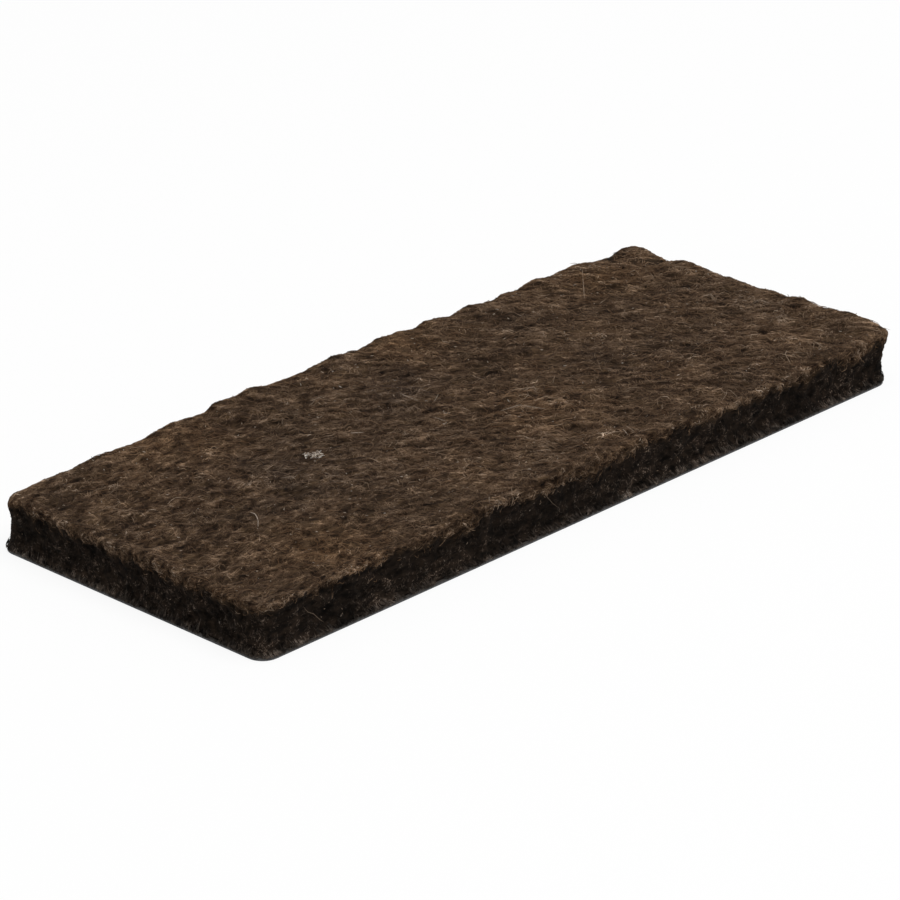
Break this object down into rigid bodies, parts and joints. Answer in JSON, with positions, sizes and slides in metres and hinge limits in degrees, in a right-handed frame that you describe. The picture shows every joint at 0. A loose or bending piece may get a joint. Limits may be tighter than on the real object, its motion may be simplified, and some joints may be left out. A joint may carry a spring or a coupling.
{
  "type": "furniture slider",
  "caption": "Rectangular self-adhesive felt furniture slider: thick needle-punched felt on double-sided tape, with a release liner that slides off.",
  "frame": {"origin": "middle of the release liner's outer face, on which the slider lies", "axes": "+X along the pad's length, +Y across it, +Z from the liner to the felt's gliding face"},
  "size_m": [0.1, 0.04, 0.0062],
  "materials": {
    "brown_felt": "matt heathered brown needle-punched felt with a hairy face and darker cut walls",
    "adhesive": "tacky dark grey acrylic coat",
    "carrier_tissue": "thin fibrous dark grey tissue",
    "liner_paper": "dark grey siliconised paper, satin"
  },
  "bodies": {
    "pad": {"felt_pad": "brown_felt", "felt_side_adhesive": "adhesive", "tape_carrier": "carrier_tissue", "furniture_side_adhesive": "adhesive"},
    "liner": {"release_liner": "liner_paper"}
  },
  "joints": [
    {"name": "liner_peel", "type": "slide", "parent": "pad", "child": "liner", "axis": [1, 0, 0], "range_m": [0, 0.105]}
  ]
}
